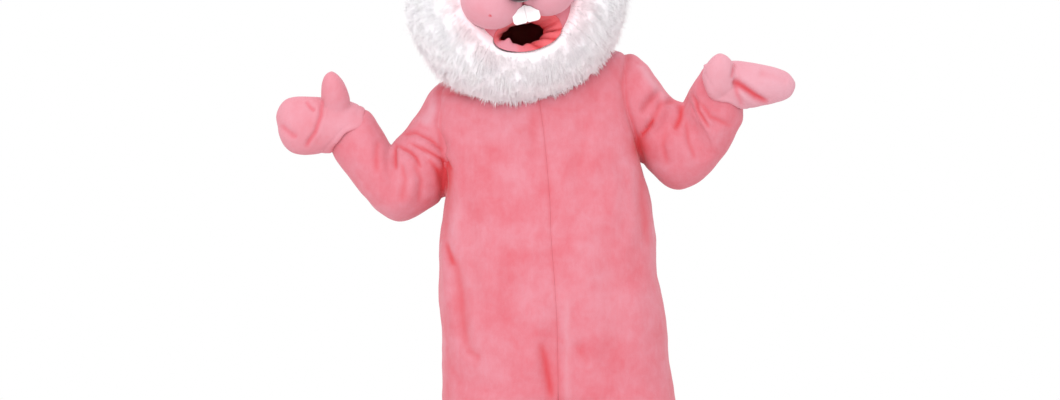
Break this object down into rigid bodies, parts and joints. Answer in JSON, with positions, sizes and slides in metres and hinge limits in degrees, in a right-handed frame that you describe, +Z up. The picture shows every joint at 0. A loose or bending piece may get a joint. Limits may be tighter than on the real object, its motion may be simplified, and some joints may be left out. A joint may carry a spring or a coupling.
{
  "type": "plush animal mascot costume set",
  "caption": "Worn pink plush mascot costume set: bodysuit with raised sleeves, two mitts and a big head with white fur cheeks, padded muzzle and front teeth.",
  "frame": {"origin": "midway between the wearer's shoulders, inside the suit at shoulder height, where the wearer holds the costume up", "axes": "+Z up, -Y to the front of the costume, +X to the right as seen from the front"},
  "size_m": [1.3205, 0.5746, 1.9929],
  "materials": {
    "plush": "short-pile pink plush, soft sheen",
    "fur": "long white fake fur",
    "felt": "white felt",
    "lining": "plain coral cloth",
    "black": "smooth black, glossy"
  },
  "bodies": {
    "root": {"suit_front_left": "plush", "suit_front_right": "plush", "suit_back_left": "plush", "suit_back_right": "plush", "sleeve_left": "plush", "sleeve_right": "plush", "mitt_palm_left": "plush", "mitt_back_left": "plush", "mitt_palm_right": "plush", "mitt_back_right": "plush", "head_face": "plush", "head_back": "plush", "muzzle_left": "plush", "muzzle_right": "plush", "ear_left": "plush", "ear_right": "plush", "ruff_left": "fur", "ruff_chin": "fur", "ruff_right": "fur", "tooth_left": "felt", "tooth_right": "felt", "mouth_lining": "lining", "nose": "black", "eye_left": "black", "eye_right": "black"}
  },
  "joints": []
}
